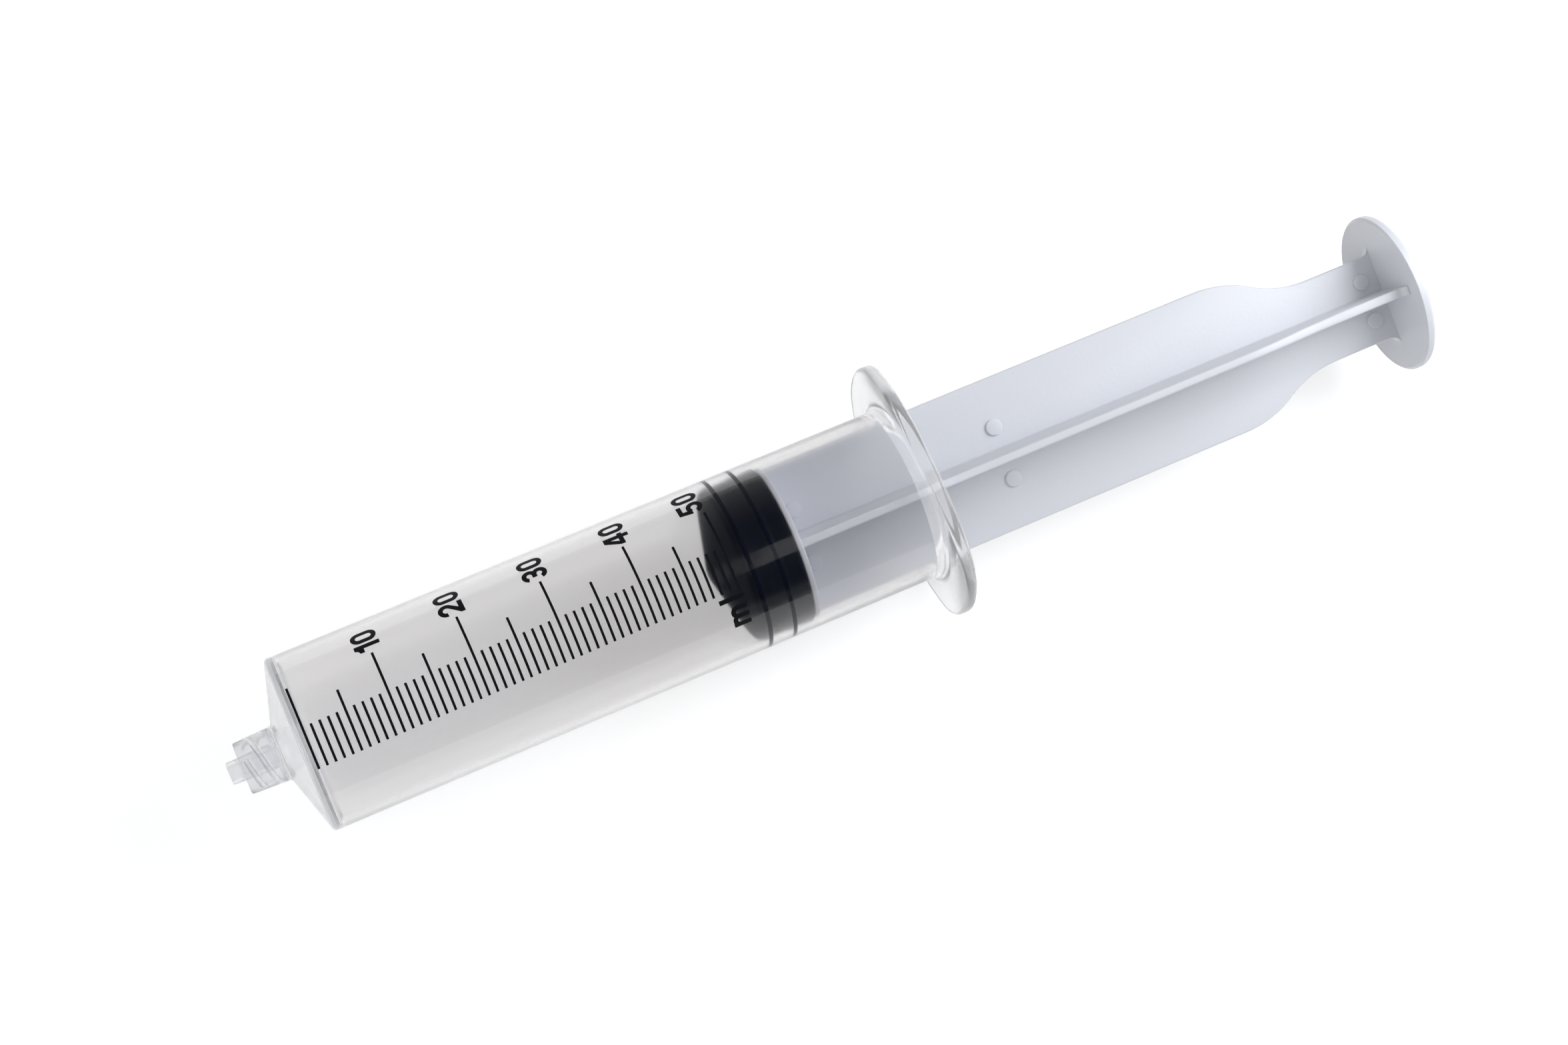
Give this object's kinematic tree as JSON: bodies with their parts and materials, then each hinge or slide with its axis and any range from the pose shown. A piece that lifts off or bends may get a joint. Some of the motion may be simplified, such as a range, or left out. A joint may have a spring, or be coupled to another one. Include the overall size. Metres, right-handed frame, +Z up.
{
  "type": "luer lock syringe",
  "caption": "Luer lock syringe with a clear graduated barrel, finger flange, dark rubber seal and a bladed plunger rod drawn back to the end of the scale.",
  "frame": {"origin": "centre of the end face of the luer tip, on the syringe's axis", "axes": "+X from the tip along the axis to the thumb rest, +Z up through a short side of the finger flange, Y across its two ears"},
  "size_m": [0.2253, 0.047, 0.0376],
  "materials": {
    "clear_plastic": "moulded clear polypropylene, smooth and slightly milky",
    "seal_rubber": "moulded synthetic rubber, near black with a blue cast, oiled, low sheen",
    "rod_plastic": "moulded natural polypropylene, pale and satin",
    "print_ink": "black printing ink, flat"
  },
  "bodies": {
    "barrel": {"barrel": "clear_plastic", "ml_lines": "print_ink", "five_ml_lines": "print_ink", "ten_ml_lines": "print_ink", "numeral_10": "print_ink", "numeral_20": "print_ink", "numeral_30": "print_ink", "numeral_40": "print_ink", "numeral_50": "print_ink", "unit_ml": "print_ink"},
    "seal": {"plunger_seal": "seal_rubber"},
    "rod": {"plunger_rod": "rod_plastic"}
  },
  "joints": [
    {"name": "plunger_slide", "type": "slide", "parent": "barrel", "child": "seal", "axis": [1, 0, 0], "range_m": [-0.07815, 0.011]},
    {"name": "rod_turn", "type": "hinge", "parent": "seal", "child": "rod", "pos_m": [0.10186, 0, 0], "axis": [1, 0, 0], "continuous": true}
  ]
}
